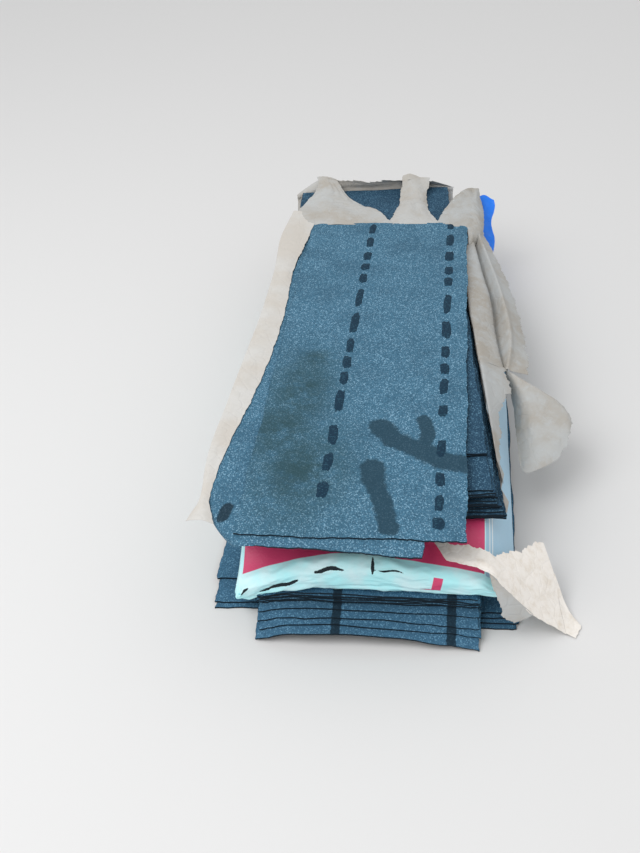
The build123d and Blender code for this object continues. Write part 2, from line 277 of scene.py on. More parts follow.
LINE_STARTS, LINE_WIDTH = (0.374, 0.3815), 0.0022
FRONT_FOLDS = ((0.034, 0.0030, 84), (0.019, 0.0019, 96), (0.047, 0.0022, 70), (0.011, 0.0010, 88))
SIDE_FOLDS = ((0.13, 0.0012, 20), (0.07, 0.0008, 100), (0.031, 0.0005, 60))
TAIL_FOLDS = ((0.03, 0.003, 80), (0.013, 0.0015, 20))
TAIL_WIDTH, TAIL_OUT, TAIL_RISE, TAIL_FILM = 0.070, 0.031, 0.074, 0.0006
# Each split: its start and end across, its place down the front, half its height, and its slope.
TEARS = (
    (0.019, 0.094, 0.048, 0.0056, 0.2), (0.106, 0.160, 0.027, 0.0044, 0.02),
    (-0.016, 0.0105, 0.034, 0.0044, 0.2), (0.1965, 0.203, 0.019, 0.017, 0.0),
    (0.203, 0.250, 0.024, 0.0018, 0.0),
)


def film_droop(x, y, level):
    """How far the bag sinks ahead of the stack: its top towards both front corners by powers of the
    distance from the crown, and its floor's lip where it hangs over the fan's left."""
    ahead = smoothstep((-0.395 - y) / 0.10)
    top_drop = 0.859 * np.clip(CROWN_FRONT_X - x, 0.0, 0.156) ** 1.5 + 0.2545 * np.clip(x, 0.0, 0.19) ** 1.2
    lip = smoothstep((-0.497 - y) / 0.014) * LIP * smoothstep((-0.06 - x) / 0.05)
    floor_drop = left_sag(x, y) + lip + ahead * 0.012 * smoothstep((-0.150 - x) / 0.03)
    return floor_drop + (top_drop * ahead - floor_drop) * level * ahead


def travelled(points):
    """The distance along a line of points from its start: 0, then the sums of the steps between them."""
    return np.concatenate(([0.0], np.cumsum(np.linalg.norm(np.diff(points, axis=0), axis=1))))


def bag_section(count_long, count_short, corner_count):
    """Points round the bag's section and their distance round it from the top left corner: a
    trapezium with rounded corners, from the middle of its floor to the right and round."""
    low, high = film_low[2] - FILM_CLEAR, film_high[2] + FILM_CLEAR
    left, right = film_low[0] - FILM_CLEAR, film_low[0] + TOP_WIDTH + FILM_CLEAR
    corners = [(right + FLARE, low), (right, high), (left - LEFT_LEAN_TOP, high),
               (left - LEFT_LEAN_FLOOR, low)]
    middle = ((left + right + FLARE) / 2, low)
    path = [np.array([middle])]
    for (x, z), (px, pz), (nx, nz) in zip(corners, [middle] + corners[:-1], corners[1:] + [middle]):
        before = np.array([px - x, pz - z]) / math.hypot(px - x, pz - z)
        behind = np.array([nx - x, nz - z]) / math.hypot(nx - x, nz - z)
        t = np.linspace(0.0, 1.0, corner_count)[:, None]
        start, end = before * SIDE, behind * SIDE
        path.append(np.array([x, z]) + start * (1 - t) ** 2 + end * t**2)
    path.append(np.array([middle]))
    counts = (count_long // 2, count_short, count_long, count_short, count_long // 2)
    full = []
    for first, second, count in zip(path[:-1], path[1:], counts):
        t = np.linspace(0.0, 1.0, count + 1)[1:-1, None]
        full += [first if first is not path[0] else first[:1], first[-1] + (second[0] - first[-1]) * t]
    points = np.concatenate(full)
    run = travelled(points)
    corner = np.argmin(np.hypot(points[:, 0] - left + LEFT_LEAN_TOP, points[:, 1] - high))
    return points, run[corner] - run


section, around = bag_section(104, 26, 7)
half_height = (film_high[2] - film_low[2]) / 2 + FILM_CLEAR
centre_z = (film_high[2] + film_low[2]) / 2
centre_x = (section[:, 0].min() + section[:, 0].max()) / 2
half_width = (section[:, 0].max() - section[:, 0].min()) / 2
inset = np.linspace(0.0, 1.0, 27)[1:] ** 1.1 * half_height
front_y, back_y = film_low[1] - FILM_CLEAR, film_high[1] + FILM_CLEAR


def cap(depth, radius):
    """How far a rounded end's edge lies behind its face where the section has shrunk by depth."""
    return radius - np.sqrt(np.maximum(radius**2 - np.maximum(radius - depth, 0.0) ** 2, 0.0))


# The bag is its section at stations from back to front, and shrinks to a line at both rounded ends.
body = np.linspace(back_y - BACK_NOSE, front_y + NOSE, BODY_STATIONS)
insets = np.concatenate((inset[::-2], np.zeros(BODY_STATIONS), inset))
stations = np.concatenate((back_y - cap(inset[::-2], BACK_NOSE), body, front_y + cap(inset, NOSE)))
shrink_z = 1.0 - insets / half_height
shrink_x = 1.0 - FRONT_INSET * np.minimum(insets / NOSE, 1.0) / half_width
bag = np.empty((len(stations), len(section), 3))
bag[..., 0] = centre_x + (section[None, :, 0] - centre_x) * shrink_x[:, None]
bag[..., 2] = centre_z + (section[None, :, 1] - centre_z) * shrink_z[:, None]
level = (bag[..., 2] - (film_low[2] - FILM_CLEAR)) / (2 * half_height)
frontness = smoothstep((front_y + FRONT_REACH - stations) / FRONT_REACH)[:, None]
bag[..., 1] = stations[:, None] + UNDERCUT * (1.0 - level) * frontness
nose_start = len(inset[::-2]) + BODY_STATIONS
forward_run = travelled(bag[:, len(section) // 2])
forward_run -= forward_run[nose_start - 1]
run = np.repeat(forward_run[:, None], len(section), axis=1)
turned = np.repeat(around[None, :], len(stations), axis=0)


def crumple(u, v, seed, folds):
    """Creased relief: triangle waves across random directions, whose lines are bent by slow sines. Each
    fold of folds is its wavelength, height and main direction in degrees."""
    rng = np.random.default_rng(seed)
    total = np.zeros_like(u)
    for length, height, direction in folds:
        angle = math.radians(direction + rng.uniform(-14.0, 14.0))
        along = u * math.cos(angle) + v * math.sin(angle)
        across = v * math.cos(angle) - u * math.sin(angle)
        along = along + 0.35 * length * np.sin(across / length * 1.7 + rng.uniform(0.0, 6.28))
        phase = along / length + rng.uniform(0.0, 1.0)
        wave = 2.0 * np.abs(phase - np.floor(phase + 0.5))
        fade = 0.55 + 0.45 * np.sin(across / length * 0.9 + rng.uniform(0.0, 6.28))
        total += height * (wave - 0.5) * fade
    return total


# The print is laid out by print_u, the distance from the left, and print_v, the distance down the front
# from the top's front edge, negative behind it.
is_front = (np.arange(len(stations)) >= nose_start)[:, None]
v_mid = run.max()
print_u = np.where(is_front, bag[..., 0] - film_low[0], turned - LEFT_LEAN_TOP)
print_v = np.where(is_front & (bag[..., 2] < centre_z), 2.0 * v_mid - run, run)
outward = -normals(bag)
front_face = smoothstep((run + 0.012) / 0.02)
dents = crumple(print_u, print_v, 5, FRONT_FOLDS)
ripples = crumple(turned, run, 8, SIDE_FOLDS)
weld = print_v - 0.066 - 0.005 * np.sin(print_u * 21.0)
dents -= 0.0035 * np.exp(-((weld / 0.0035) ** 2)) * front_face
seam = np.clip(1.0 - insets / half_height, 0.0, 1.0)[:, None] ** 0.25
torn = np.zeros_like(run)
for start, end, height, half, slope in TEARS:
    middle, reach = (start + end) / 2, (end - start) / 2
    bent = height + 0.002 * np.sin((print_u - start) * 150.0) - slope * (print_u - middle)
    torn = np.maximum(torn, 1.0 - np.hypot((print_u - middle) / reach, (print_v - bent) / half) * 0.5)
bag += outward * ((dents * front_face + ripples * (1.0 - front_face) * 0.6) * seam)[..., None]
bag[..., 2] -= film_droop(bag[..., 0], bag[..., 1], level)
rows, columns = run.shape
index = np.arange(rows * columns).reshape(rows, columns)
beside = np.roll(index, -1, axis=1)
bag_quads = np.stack((index[:-1], beside[:-1], beside[1:], index[1:]), axis=-1).reshape(-1, 4)
bag_points = bag.reshape(-1, 3)
bag_uv = np.stack((print_u.ravel(), print_v.ravel()), axis=-1)

printed, tree = new_material("printed_film")
shader = tree.nodes["Principled BSDF"]
uv = add(tree, "ShaderNodeUVMap", uv_map="unrolled").outputs["UV"]
split = add(tree, "ShaderNodeSeparateXYZ", {"Vector": uv})
u, v = split.outputs["X"], split.outputs["Y"]
place = add(tree, "ShaderNodeTexCoord").outputs["Object"]
haze = add(tree, "ShaderNodeTexNoise", {"Vector": place, "Scale": 22.0, "Detail": 6.0})
colour = blend(tree, ramp(tree, haze.outputs["Fac"], 0.35, 0.7), BAG_WHITE, BAG_WHITE_HAZE)
flank = inside(tree, u, GREY_LEFT, GREY_RIGHT)
under_red = ramp(tree, v, 0.006, 0.002)
colour = blend(tree, calculate(tree, "MULTIPLY", flank, under_red), colour, BAG_GREY)
for start in LINE_STARTS:
    line = calculate(tree, "MULTIPLY", inside(tree, u, start, start + LINE_WIDTH), under_red)
    colour = blend(tree, line, colour, BAG_LINE)
red = calculate(tree, "MULTIPLY", inside(tree, u, RED_LEFT, RED_RIGHT), ramp(tree, v, 0.0015, 0.0005))
fading = add(tree, "ShaderNodeTexNoise", {"Vector": place, "Scale": 60.0, "Detail": 8.0, "Roughness": 0.7})
red_shade = blend(tree, ramp(tree, fading.outputs["Fac"], 0.56, 0.76), BAG_RED, BAG_RED_WORN)
colour = blend(tree, red, colour, red_shade)
slant = calculate(tree, "ADD", u, calculate(tree, "MULTIPLY", v, 0.12))
tab = calculate(tree, "MULTIPLY", inside(tree, slant, 0.2926, 0.3065), inside(tree, v, 0.024, 0.058))
tail_mark = calculate(tree, "MULTIPLY", inside(tree, slant, 0.276, 0.297), inside(tree, v, 0.0565, 0.0590))
colour = blend(tree, calculate(tree, "MAXIMUM", tab, tail_mark), colour, BAG_RED)
blue = calculate(tree, "MULTIPLY", inside(tree, u, 0.25, 0.47), ramp(tree, v, -0.955, -0.957))
colour = blend(tree, blue, colour, BAG_BLUE)
grime = add(tree, "ShaderNodeTexNoise", {"Vector": place, "Scale": 130.0, "Detail": 8.0, "Roughness": 0.75})
dirty = calculate(tree, "MULTIPLY", ramp(tree, grime.outputs["Fac"], 0.62, 0.8), 0.5)
colour = blend(tree, dirty, colour, GRIME)
# The splits are painted near-black: the dark shingle edges behind them, with painted shade inside each split.
tear = add(tree, "ShaderNodeAttribute", attribute_name="torn").outputs["Fac"]
ragged = calculate(tree, "ADD", tear, calculate(tree, "MULTIPLY", grime.outputs["Fac"], 0.5))
hole = ramp(tree, ragged, 0.80, 0.84)
colour = blend(tree, hole, colour, HOLE_BLACK)
fine = add(tree, "ShaderNodeTexNoise", {"Vector": place, "Scale": 170.0, "Detail": 5.0, "Distortion": 1.2})
bump = add(tree, "ShaderNodeBump", {"Height": fine.outputs["Fac"], "Strength": 0.35, "Distance": 0.0012})
tree.links.new(colour, shader.inputs["Base Color"])
tree.links.new(bump.outputs["Normal"], shader.inputs["Normal"])
rough = calculate(tree, "ADD", 0.34, calculate(tree, "MULTIPLY", hole, 0.5))
tree.links.new(rough, shader.inputs["Roughness"])
shader.inputs["Specular IOR Level"].default_value = 0.45

tail_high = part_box("film_wrap")[1]
across, up = np.meshgrid(np.linspace(0.0, 1.0, 30), np.linspace(0.0, 1.0, 50), indexing="ij")
tail_x = film_low[0] + TOP_WIDTH + TAIL_OUT - TAIL_WIDTH + TAIL_WIDTH * across
tail_x = tail_x - 0.010 * up * (1.0 - across) + 0.004 * np.sin(9 * up)
tail_y = film_high[1] + 0.001 + (tail_high[1] - 0.004 - film_high[1]) * up
tail_y = tail_y + 0.006 * np.sin(7 * across + 3 * up)
tail_z = film_high[2] - 0.020 + TAIL_RISE * up**0.9 + 0.004 * np.sin(11 * across) * up
tail = np.stack((tail_x, tail_y, tail_z), axis=-1)
tail += normals(tail) * crumple(across * TAIL_WIDTH, up * 0.15, 3, TAIL_FOLDS)[..., None]
tail_shell = thick_sheet(tail, TAIL_FILM)
tail_uv = np.stack((np.full(len(tail_shell[0]), 0.42), np.full(len(tail_shell[0]), -1.1)), axis=-1)
make_piece(
    "film_bag", [(bag_points, bag_quads), tail_shell], printed, ["film_wrap", "sealed_bundle_core"],
    crease=50.0,
    values={"torn": np.concatenate((torn.ravel(), np.zeros(len(tail_shell[0]))))},
    uv=np.concatenate((bag_uv, tail_uv)),
)

# The opened bundle: seventeen shingles laid one on another, each a few millimetres off the one below,
# the last two slid back. Nothing holds them but their weight.
STACK_COUNT, SLID_COUNT, SLID_BACK = 15, 2, 0.077
STACK_CENTRE, STACK_TURN = (-0.009, 0.080), 5.1
stack_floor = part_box("stack_shingles")[0][2]


def in_stack(along, across):
    """A point of the turned stack's plan, measured from its middle along and across it."""
    turn = math.radians(STACK_TURN)
    return (STACK_CENTRE[0] - along * math.sin(turn) + across * math.cos(turn),
            STACK_CENTRE[1] + along * math.cos(turn) + across * math.sin(turn))


stacked = []
for k in range(STACK_COUNT + SLID_COUNT):
    slid = SLID_BACK if k >= STACK_COUNT else 0.0
    centre = in_stack(slid - 0.006 + 0.0012 * k + 0.004 * math.sin(1.3 * k + 1),
                      0.005 - 0.0008 * k + 0.0025 * math.sin(2.1 * k))
    turn = math.radians(STACK_TURN + 0.4 - 0.06 * k)
    stacked.append(shingle(centre, turn, lambda x, y: np.full_like(x, stack_floor + k * PITCH), 300 + 7 * k))
make_piece("opened_stack", [thick_sheet(top, THICKNESS) for top in stacked], charcoal,
           ["stack_shingles"])

# The second shingle from the top: faded by the sun, it droops over the stack's front, and its front
# left corner has curled down.
FADED_DARK, FADED, FADED_PALE = (0.022, 0.072, 0.122), (0.072, 0.195, 0.300), (0.22, 0.40, 0.54)
second_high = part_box("second_shingle")[1]
SECOND_CORNER, SECOND_TURN = (-0.2452, -0.5295), math.radians(-3.3)
DROOP_START, DROOP_RADIUS = -0.400, 2.0
CURL_ALONG, CURL_ACROSS, CURL_RADIUS = 0.161, 0.130, 0.013
# A dark patch painted near-black on the second shingle, behind its curled front left corner.
DARK_PATCH_STROKES = ((((-0.203, -0.460), (-0.207, -0.482)), 0.009),)
DARK_PATCH_BLACK, MOSS_GREEN, EDGE_BLACK = (0.006, 0.018, 0.030), (0.020, 0.056, 0.062), (0.010, 0.022, 0.034)


def droop(y):
    """How far the overhanging front hangs down: the distance past the edge, squared over a diameter."""
    return np.maximum(DROOP_START - y, 0.0) ** 2 / (2.0 * DROOP_RADIUS)


def stroke_field(x, y, strokes):
    """1 on the middle of brush strokes along lines of points, falling to 0.5 at their half width."""
    field = np.zeros_like(x)
    for line, half in strokes:
        for (ax, ay), (bx, by) in zip(line[:-1], line[1:]):
            span = (bx - ax) ** 2 + (by - ay) ** 2
            t = np.clip(((x - ax) * (bx - ax) + (y - ay) * (by - ay)) / span, 0.0, 1.0)
            away = np.hypot(x - ax - t * (bx - ax), y - ay - t * (by - ay))
            field = np.maximum(field, 1.0 - 0.5 * away / half)
    return field


def faded_material(name, mark_colour):
    """Faded granules with black cut edges, darkened where attributes give dark marks, such as water stains,
    and thin growth.
    """
    material, tree = new_material(name)
    shader = tree.nodes["Principled BSDF"]
    place = add(tree, "ShaderNodeTexCoord").outputs["Object"]
    colour, relief = granule_colour(tree, place, FADED_DARK, FADED, FADED_PALE)
    rough = add(tree, "ShaderNodeTexNoise", {"Vector": place, "Scale": 95.0, "Detail": 6.0, "Roughness": 0.7})
    fray = calculate(tree, "MULTIPLY", calculate(tree, "SUBTRACT", rough.outputs["Fac"], 0.5), 0.5)
    moss = add(tree, "ShaderNodeAttribute", attribute_name="moss").outputs["Fac"]
    slow = add(tree, "ShaderNodeTexNoise", {"Vector": place, "Scale": 26.0, "Detail": 8.0, "Roughness": 0.75})
    patchy = calculate(tree, "MULTIPLY", moss, ramp(tree, slow.outputs["Fac"], 0.20, 0.60))
    colour = blend(tree, calculate(tree, "MULTIPLY", patchy, 0.85), colour, MOSS_GREEN)
    damp = add(tree, "ShaderNodeAttribute", attribute_name="damp").outputs["Fac"]
    mark_share = ramp(tree, calculate(tree, "ADD", damp, fray), 0.40, 0.60)
    colour = blend(tree, calculate(tree, "MULTIPLY", mark_share, 0.86), colour, mark_colour)
    cut = add(tree, "ShaderNodeAttribute", attribute_name="cut").outputs["Fac"]
    colour = blend(tree, cut, colour, EDGE_BLACK)
    bump = add(tree, "ShaderNodeBump", {"Height": relief, "Strength": 0.5, "Distance": 0.0006})
    tree.links.new(colour, shader.inputs["Base Color"])
    tree.links.new(bump.outputs["Normal"], shader.inputs["Normal"])
    shader.inputs["Roughness"].default_value = 0.9
    shader.inputs["Specular IOR Level"].default_value = 0.25
    return material


def curled(points, corner, turn):
    """Rolls the corner beyond a quarter of an ellipse down and under, away from the ellipse's middle: a
    distance d past it becomes r sin(d/r) outwards and r (1 - cos(d/r)) down, up to 115 degrees."""
    dx, dy = points[..., 0] - corner[0], points[..., 1] - corner[1]
    a = np.maximum(CURL_ACROSS - dx * math.cos(turn) - dy * math.sin(turn), 1e-9)
    b = np.maximum(CURL_ALONG + dx * math.sin(turn) - dy * math.cos(turn), 1e-9)
    reach = np.hypot(a, b)
    gone = reach * (1.0 - 1.0 / np.maximum(np.hypot(a / CURL_ACROSS, b / CURL_ALONG), 1.0))
    gone = np.where((a > 1e-8) & (b > 1e-8), gone, 0.0)
    ox, oy = -a / reach, -b / reach
    ox, oy = ox * math.cos(turn) - oy * math.sin(turn), ox * math.sin(turn) + oy * math.cos(turn)
    angle = np.minimum(gone / CURL_RADIUS, math.radians(115.0))
    rest = gone - angle * CURL_RADIUS
    out = CURL_RADIUS * np.sin(angle) + rest * np.cos(angle)
    down = CURL_RADIUS * (1.0 - np.cos(angle)) + rest * np.sin(angle)
    return points + np.stack(((out - gone) * ox, (out - gone) * oy, -down), axis=-1)


half = np.array([WIDTH / 2, LENGTH / 2])
middle = (SECOND_CORNER[0] + half[0] * math.cos(SECOND_TURN) - half[1] * math.sin(SECOND_TURN),
          SECOND_CORNER[1] + half[0] * math.sin(SECOND_TURN) + half[1] * math.cos(SECOND_TURN))
second = shingle(middle, SECOND_TURN, lambda x, y: second_high[2] - THICKNESS - droop(y), 700,
                 cells=(90, 250))
second = curled(second, SECOND_CORNER, SECOND_TURN)
faded = faded_material("faded_granules", DARK_PATCH_BLACK)
second_shell = thick_sheet(second, THICKNESS)
dark_patch = stroke_field(second_shell[0][:, 0], second_shell[0][:, 1], DARK_PATCH_STROKES)
make_piece("second_strip", [second_shell], faded, ["second_shingle"],
           values={"damp": dark_patch, "moss": np.zeros_like(dark_patch)})

# The top shingle: whole and flat, it droops at the front. Water has left dark marks on it, and thin
# growth darkens its left side.
top_low, top_high = (np.array(corner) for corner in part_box("top_shingle"))
TOP_CENTRE = ((top_low[0] + top_high[0]) / 2, (top_low[1] + top_high[1]) / 2 + 0.0015)
DAMP_STROKES = (
    (((0.199, 0.263), (0.222, 0.228), (0.262, 0.205)), 0.020),
    (((0.262, 0.205), (0.300, 0.178), (0.337, 0.168)), 0.021),
    (((0.268, 0.283), (0.276, 0.245), (0.268, 0.205)), 0.012),
    (((0.192, 0.158), (0.196, 0.128)), 0.019),
    (((0.196, 0.128), (0.214, 0.072), (0.226, 0.022)), 0.015),
)
DAMP_BLUE = (0.014, 0.046, 0.072)
# Each patch of growth: its middle from the shingle's left front corner, and its reach across and along.
MOSS_SPOTS = ((0.070, 0.455, 0.040, 0.035), (0.055, 0.360, 0.062, 0.11), (0.035, 0.250, 0.070, 0.11),
              (0.080, 0.150, 0.08, 0.13))

top = shingle(TOP_CENTRE, 0.0, lambda x, y: top_high[2] - THICKNESS - droop(y), 800, cells=(96, 280))
shell = thick_sheet(top, THICKNESS)
on_x, on_y = shell[0][:, 0] - top_low[0], shell[0][:, 1] - top_low[1]
moss = np.zeros_like(on_x)
for x, y, wide, long in MOSS_SPOTS:
    moss = np.maximum(moss, np.exp(-((on_x - x) / wide) ** 2 - ((on_y - y) / long) ** 2))
marked = faded_material("faded_marked_granules", DAMP_BLUE)
make_piece("top_strip", [shell], marked, ["top_shingle"],
           values={"damp": stroke_field(on_x, on_y, DAMP_STROKES), "moss": moss})

# Sealant pads: two rows of bitumen dabs that bond one course of shingles to the next when the sun
# warms them, rolled on at the works in an uneven rhythm.
PAD_HALF_WIDTH, PAD_HEIGHT, PAD_SUNK = 0.0078, 0.0012, 0.0006
PAD_DARK, PAD_PALE = (0.006, 0.030, 0.058), (0.020, 0.070, 0.11)
# Each row: its place across, how far it drifts left along the strip, and the places and lengths of its
# dabs in millimetres from the back edge.
PAD_ROWS = (
    (0.135, 0.016, ((29, 44), (91, 40), (153, 38), (199, 29), (247, 40), (324, 66), (418, 68), (497, 44),
                    (551, 37), (601, 36), (669, 66), (763, 53), (833, 44), (900, 40))),
    (0.302, 0.006, ((19, 24), (83, 54), (154, 44), (215, 36), (261, 37), (347, 68), (440, 62), (515, 41),
                    (569, 35), (623, 45), (693, 30), (793, 41), (869, 34), (923, 32), (966, 26))),
)


def dab(x, y, half_length, seed):
    """One pad: rings of an uneven superellipse, whose height falls from the middle by 1 - r to the fourth."""
    rng = np.random.default_rng(seed)
    angle = np.linspace(0.0, 2.0 * np.pi, 29)[:-1]
    share = np.array([0.0, 0.35, 0.65, 0.85, 0.96, 1.0])
    edge = np.ones_like(angle)
    for lobes, depth in ((2, 0.09), (5, 0.06), (9, 0.05)):
        edge += depth * np.sin(lobes * angle + rng.uniform(0, 6.3))
    round_x = np.sign(np.cos(angle)) * np.abs(np.cos(angle)) ** 0.6 * PAD_HALF_WIDTH * rng.uniform(0.88, 1.08)
    round_y = np.sign(np.sin(angle)) * np.abs(np.sin(angle)) ** 0.6 * half_length
    px = x + np.outer(share, round_x * edge)
    py = y + np.outer(share, round_y * edge)
    height = PAD_HEIGHT * (1.0 - share**4)[:, None] + 0.00015 * np.sin(px * 900) * np.sin(py * 700)
    pz = top_high[2] - droop(py) + np.maximum(height, -0.0002)
    points = np.stack((px, py, pz), axis=-1)
    count = len(angle)
    index = np.arange(len(share) * count).reshape(len(share), count)
    after = np.roll(index, -1, axis=1)
    quads = np.stack((index[:-1], index[1:], after[1:], after[:-1]), axis=-1)[1:].reshape(-1, 4)
    tip = np.zeros(count // 2, dtype=int)
    middle = np.stack((index[1, 0::2], index[1, 1::2], after[1, 1::2], tip), axis=-1)
    under = points[-1] - np.array([0.0, 0.0, PAD_SUNK])
    base = len(share) * count
    first = base + np.arange(count)
    second = base + np.roll(np.arange(count), -1)
    third = base + np.roll(np.arange(count), -2)
    rim = np.stack((index[-1], first, second, after[-1]), axis=-1)
    floor = np.stack((np.full(count // 2, base + count), third[::2], second[::2], first[::2]), axis=-1)
    everything = np.concatenate((points.reshape(-1, 3), under, np.mean(under, axis=0)[None]))
    return everything, np.concatenate((quads, middle, rim, floor))


bitumen, tree = new_material("sealant")
shader = tree.nodes["Principled BSDF"]
place = add(tree, "ShaderNodeTexCoord").outputs["Object"]
grain = add(tree, "ShaderNodeTexVoronoi", {"Vector": place, "Scale": 520.0})
specks = add(tree, "ShaderNodeSeparateColor", {"Color": grain.outputs["Color"]}).outputs[0]
colour = blend(tree, ramp(tree, specks, 0.72, 0.95), PAD_DARK, PAD_PALE)
bump = add(tree, "ShaderNodeBump", {"Height": grain.outputs["Distance"], "Strength": 0.5, "Distance": 0.0006})
tree.links.new(colour, shader.inputs["Base Color"])
tree.links.new(bump.outputs["Normal"], shader.inputs["Normal"])
shader.inputs["Roughness"].default_value = 0.8
shader.inputs["Specular IOR Level"].default_value = 0.2
pads = []
for row, drift, stations in PAD_ROWS:
    for station, length in stations:
        x, y = top_low[0] + row - drift * station / 1000.0, top_high[1] + 0.0015 - station / 1000.0
        pads.append(dab(x, y, length / 2000.0, 900 + len(pads)))
make_piece("sealant_dabs", pads, bitumen, ["sealant_pads"], crease=60.0)

# The opened bundle's wrapper: one sheet of kraft paper, torn open along its top. It lies under the
# stack, leans out along both sides and stands up behind, and its torn pieces lie over the left edge
# and the back, hang down at the right, and fall over the sealed bundle's front corner to the floor.
PAPER, WALL_OUT = 0.0006, 0.1815
PAPER_TAN, PAPER_PALE, PAPER_WORN = (0.38, 0.355, 0.315), (0.445, 0.46, 0.46), (0.50, 0.545, 0.575)
# The next two colours are painted light: the paper as it looks where more light falls on it.
PAPER_LIT, PAPER_LIT_TAN = (0.89, 0.85, 0.80), (0.74, 0.67, 0.58)
crest = stack_floor + (STACK_COUNT + SLID_COUNT - 1) * PITCH


def on_side(along, out, rise):
    """A point given from the stack's middle: along it, out from its right wall, and above its top."""
    return (*in_stack(along, WALL_OUT + out), crest + rise)


def through(points, count):
    """count points on a smooth line through the given ones: a cubic for each stretch, whose slope at
    each given point is half the way between that point's neighbours."""
    points = np.asarray(points, dtype=float)
    last = len(points) - 1
    t = np.linspace(0.0, last, count)
    i = np.minimum(t.astype(int), last - 1)
    f = (t - i).reshape((-1,) + (1,) * (points.ndim - 1))
    before, start, end, behind = (points[np.clip(i + k, 0, last)] for k in (-1, 0, 1, 2))
    rising = end - before
    return 0.5 * (2 * start + rising * f + (2 * before - 5 * start + 4 * end - behind) * f**2
                  + (3 * start - before - 3 * end + behind) * f**3)


def panel(lines, along, across, seed, folds, ragged=(0.0, 0.0), limp=1.0):
    """A sheet of paper through lines of points, along each and from line to line, with creases. Its first
    and last lines are torn where ragged gives the depth: they waver by short waves."""
    grid = through(np.stack([through(line, along) for line in lines]), across)
    v, u = np.meshgrid(travelled(grid[:, along // 2]), travelled(grid[across // 2]), indexing="ij")
    share = np.linspace(0.0, 1.0, across)[:, None]
    tear = waver(u, seed, ((0.071, 1.0), (0.033, 0.6), (0.0171, 0.5), (0.0083, 0.35), (0.0041, 0.2)))
    side = np.gradient(grid, axis=0)
    side /= np.maximum(np.linalg.norm(side, axis=-1, keepdims=True), 1e-9)
    grid += side * (tear * ((1.0 - share) ** 6 * ragged[0] + share**6 * ragged[1]))[..., None]
    grid += normals(grid) * (crumple(u, v, seed, folds) * limp)[..., None]
    return grid


soft_folds = ((0.120, 0.0022, 80), (0.061, 0.0012, 100), (0.027, 0.0007, 65), (0.012, 0.00035, 15))
tight_folds = ((0.052, 0.0040, 85), (0.026, 0.0026, 60), (0.015, 0.0014, 20), (0.008, 0.0007, 100))
curl_folds = ((0.09, 0.0035, 85), (0.045, 0.0018, 50), (0.021, 0.0010, 100), (0.009, 0.0004, 30))
flap_folds = ((0.085, 0.0022, 75), (0.043, 0.0013, 100), (0.021, 0.0007, 50), (0.010, 0.0003, 20))
# Under the stack, the left side folded over the top's edge, and the end stood up behind.
foot = [(*in_stack(v, -WALL_OUT), stack_floor - 0.0001) for v in (0.5, 0.36, 0.2, 0.05, -0.1, -0.22)]
under = panel([[(*in_stack(v, side * (WALL_OUT + 0.001)), stack_floor - 0.0004)
                for v in (0.513, 0.0, -0.488)]
               for side in (-1, 0, 1)], 24, 10, 1, soft_folds, (0.003, 0.003), limp=0.0)
left = panel([
    foot + [(-0.190, -0.340, 0.140), (-0.2445, -0.420, 0.168), (-0.262, -0.487, 0.176)],
    [(-0.244, 0.545, 0.155), (-0.245, 0.40, 0.155), (-0.240, 0.25, 0.155), (-0.235, 0.10, 0.155),
     (-0.226, -0.04, 0.155), (-0.222, -0.16, 0.156), (-0.232, -0.330, 0.166), (-0.2475, -0.425, 0.176),
     (-0.2585, -0.488, 0.178)],
    [(-0.238, 0.545, 0.182), (-0.247, 0.41, 0.184), (-0.240, 0.28, 0.184), (-0.240, 0.10, 0.184),
     (-0.2445, -0.05, 0.184), (-0.250, -0.19, 0.184), (-0.256, -0.335, 0.184), (-0.2495, -0.43, 0.181),
     (-0.252, -0.489, 0.180)],
    [(-0.230, 0.542, 0.188), (-0.240, 0.41, 0.1885), (-0.232, 0.28, 0.1885), (-0.233, 0.10, 0.188),
     (-0.238, -0.05, 0.188), (-0.244, -0.19, 0.188), (-0.250, -0.33, 0.187), (-0.2445, -0.43, 0.184),
     (-0.240, -0.491, 0.183)],
    [(-0.205, 0.530, 0.189), (-0.215, 0.40, 0.190), (-0.214, 0.28, 0.189), (-0.216, 0.10, 0.188),
     (-0.224, -0.05, 0.188), (-0.230, -0.19, 0.187), (-0.240, -0.32, 0.186), (-0.240, -0.43, 0.184),
     (-0.230, -0.4925, 0.182)],
    [(-0.179, 0.510, 0.187), (-0.189, 0.385, 0.1865), (-0.200, 0.27, 0.1855), (-0.195, 0.10, 0.1850),
     (-0.199, -0.05, 0.1848), (-0.212, -0.19, 0.1845), (-0.228, -0.31, 0.1845), (-0.235, -0.43, 0.183),
     (-0.219, -0.494, 0.178)],
], 200, 40, 21, soft_folds, (0.0, 0.0007), limp=0.4)
stand_foot = [(*in_stack(0.5, WALL_OUT * share), stack_floor - 0.0001) for share in (-1, -0.5, 0.0, 0.5, 1)]
stand = panel([
    stand_foot,
    [(*in_stack(0.585, WALL_OUT * share), crest - 0.022) for share in (-1, -0.5, 0.0, 0.5, 1)],
    [(-0.243, 0.655, 0.170), (-0.150, 0.669, 0.178), (-0.060, 0.675, 0.179), (0.030, 0.684, 0.178),
     (0.120, 0.690, 0.172)],
    [(-0.240, 0.662, 0.175), (-0.150, 0.671, 0.192), (-0.070, 0.668, 0.193), (0.010, 0.682, 0.194),
     (0.118, 0.692, 0.176)],
    [(-0.205, 0.690, 0.190), (-0.168, 0.676, 0.204), (-0.085, 0.664, 0.2025), (0.000, 0.670, 0.204),
     (0.075, 0.672, 0.199)],
], 100, 34, 31, soft_folds, (0.0, 0.0045), limp=0.8)
